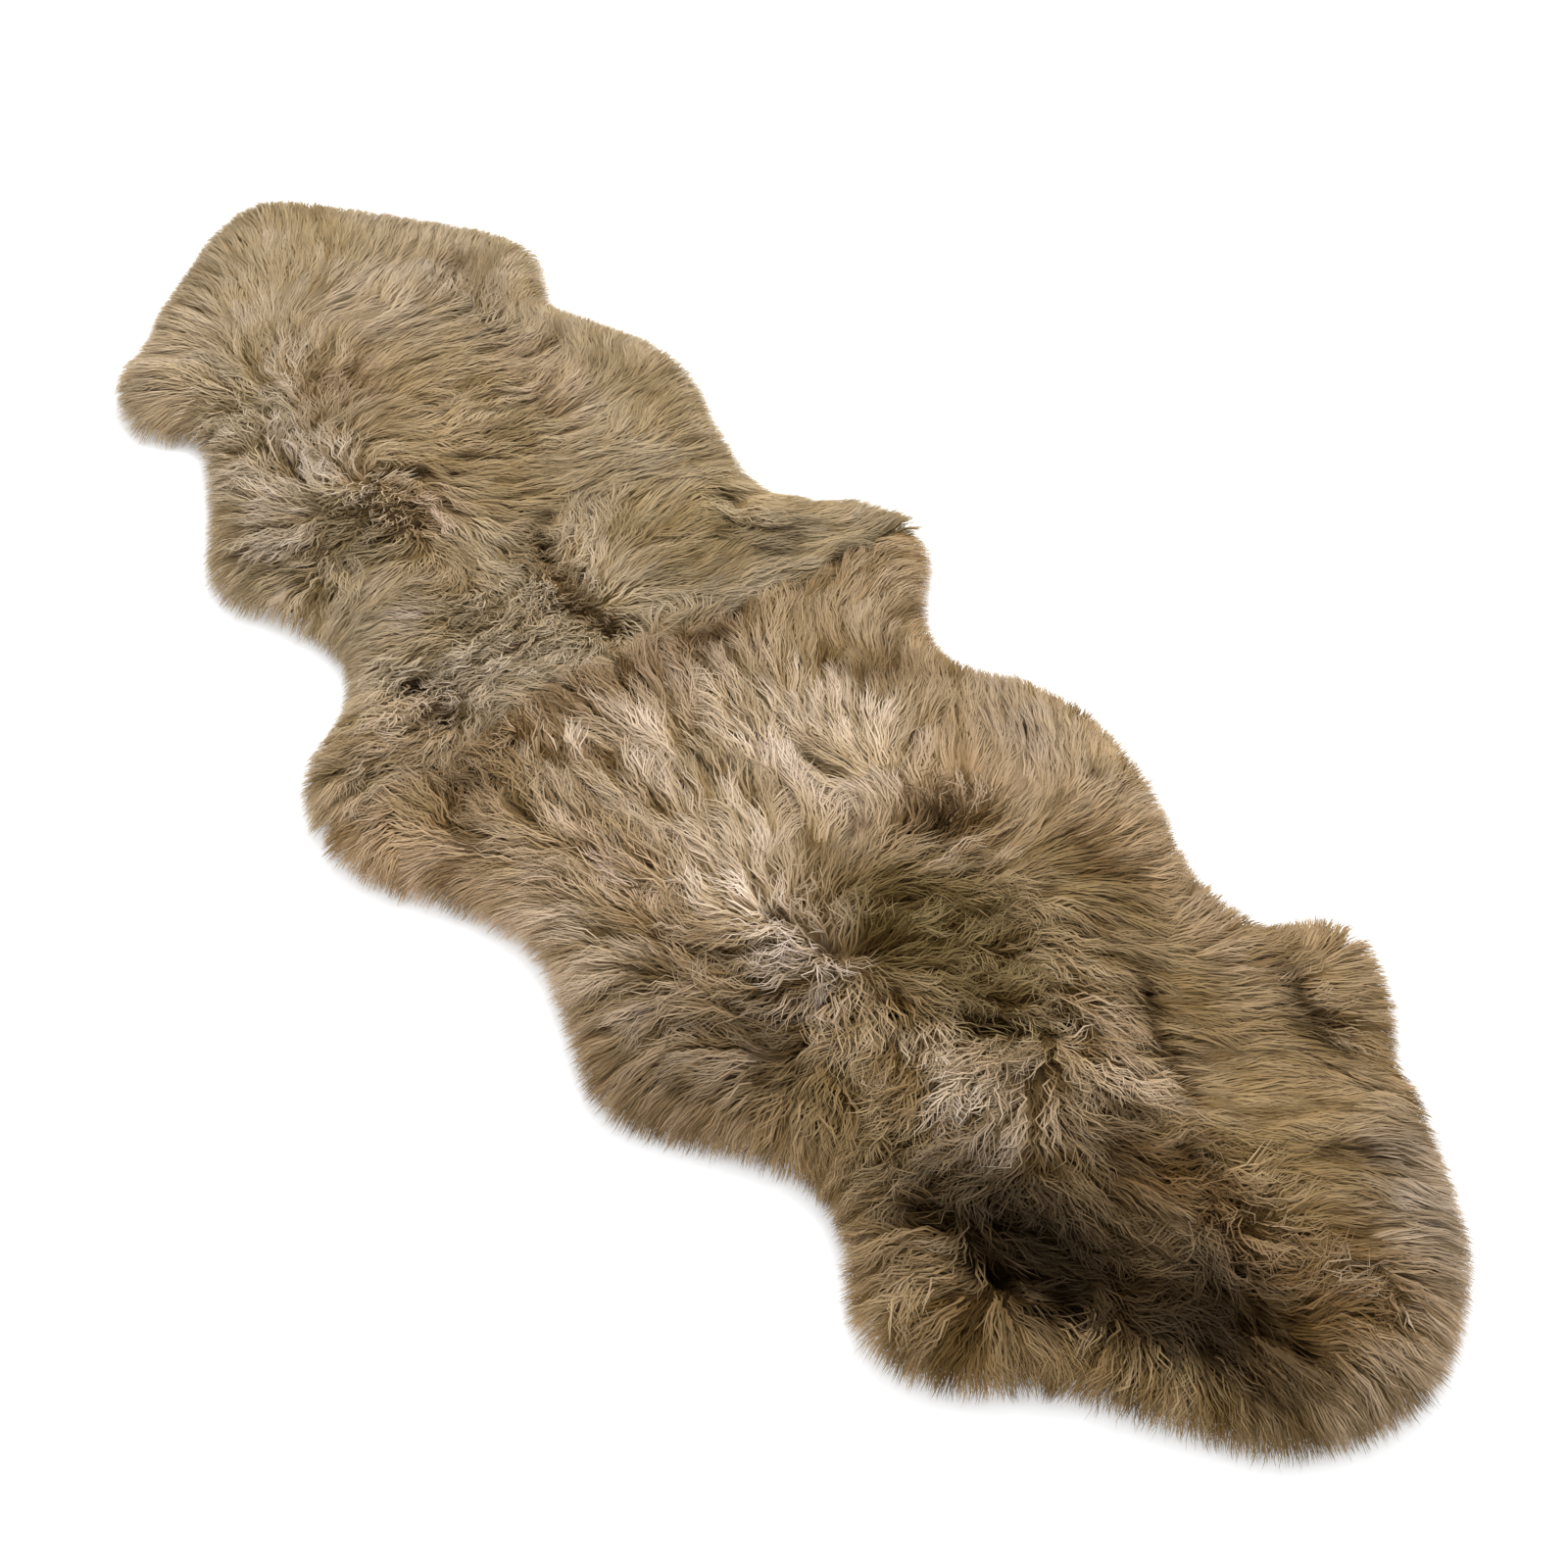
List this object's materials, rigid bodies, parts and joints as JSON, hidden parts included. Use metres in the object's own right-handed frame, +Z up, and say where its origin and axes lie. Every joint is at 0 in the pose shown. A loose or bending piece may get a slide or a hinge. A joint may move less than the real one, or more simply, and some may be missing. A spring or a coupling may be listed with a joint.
{
  "type": "double sheepskin rug",
  "caption": "Long shaggy rug of tanned sheepskins sewn end to end, with a scalloped hide outline and deep soft wool on top.",
  "frame": {"origin": "on the floor, under the middle of the rug's bounding box", "axes": "+X along the rug towards the end of the near pelt, +Y across it, +Z up through the wool"},
  "size_m": [1.8298, 0.6854, 0.0581],
  "materials": {
    "far_wool": "long soft olive beige wool in fine wavy locks, low sheen",
    "near_wool": "long soft taupe and brown wool with pale pinkish tips, low sheen",
    "tanned_skin": "matte suede-like flesh side of a tanned hide",
    "seam_thread": "waxed sewing thread"
  },
  "bodies": {
    "root": {"far_skin": "tanned_skin", "near_skin": "tanned_skin", "far_fleece": "far_wool", "near_fleece": "near_wool"}
  },
  "joints": []
}
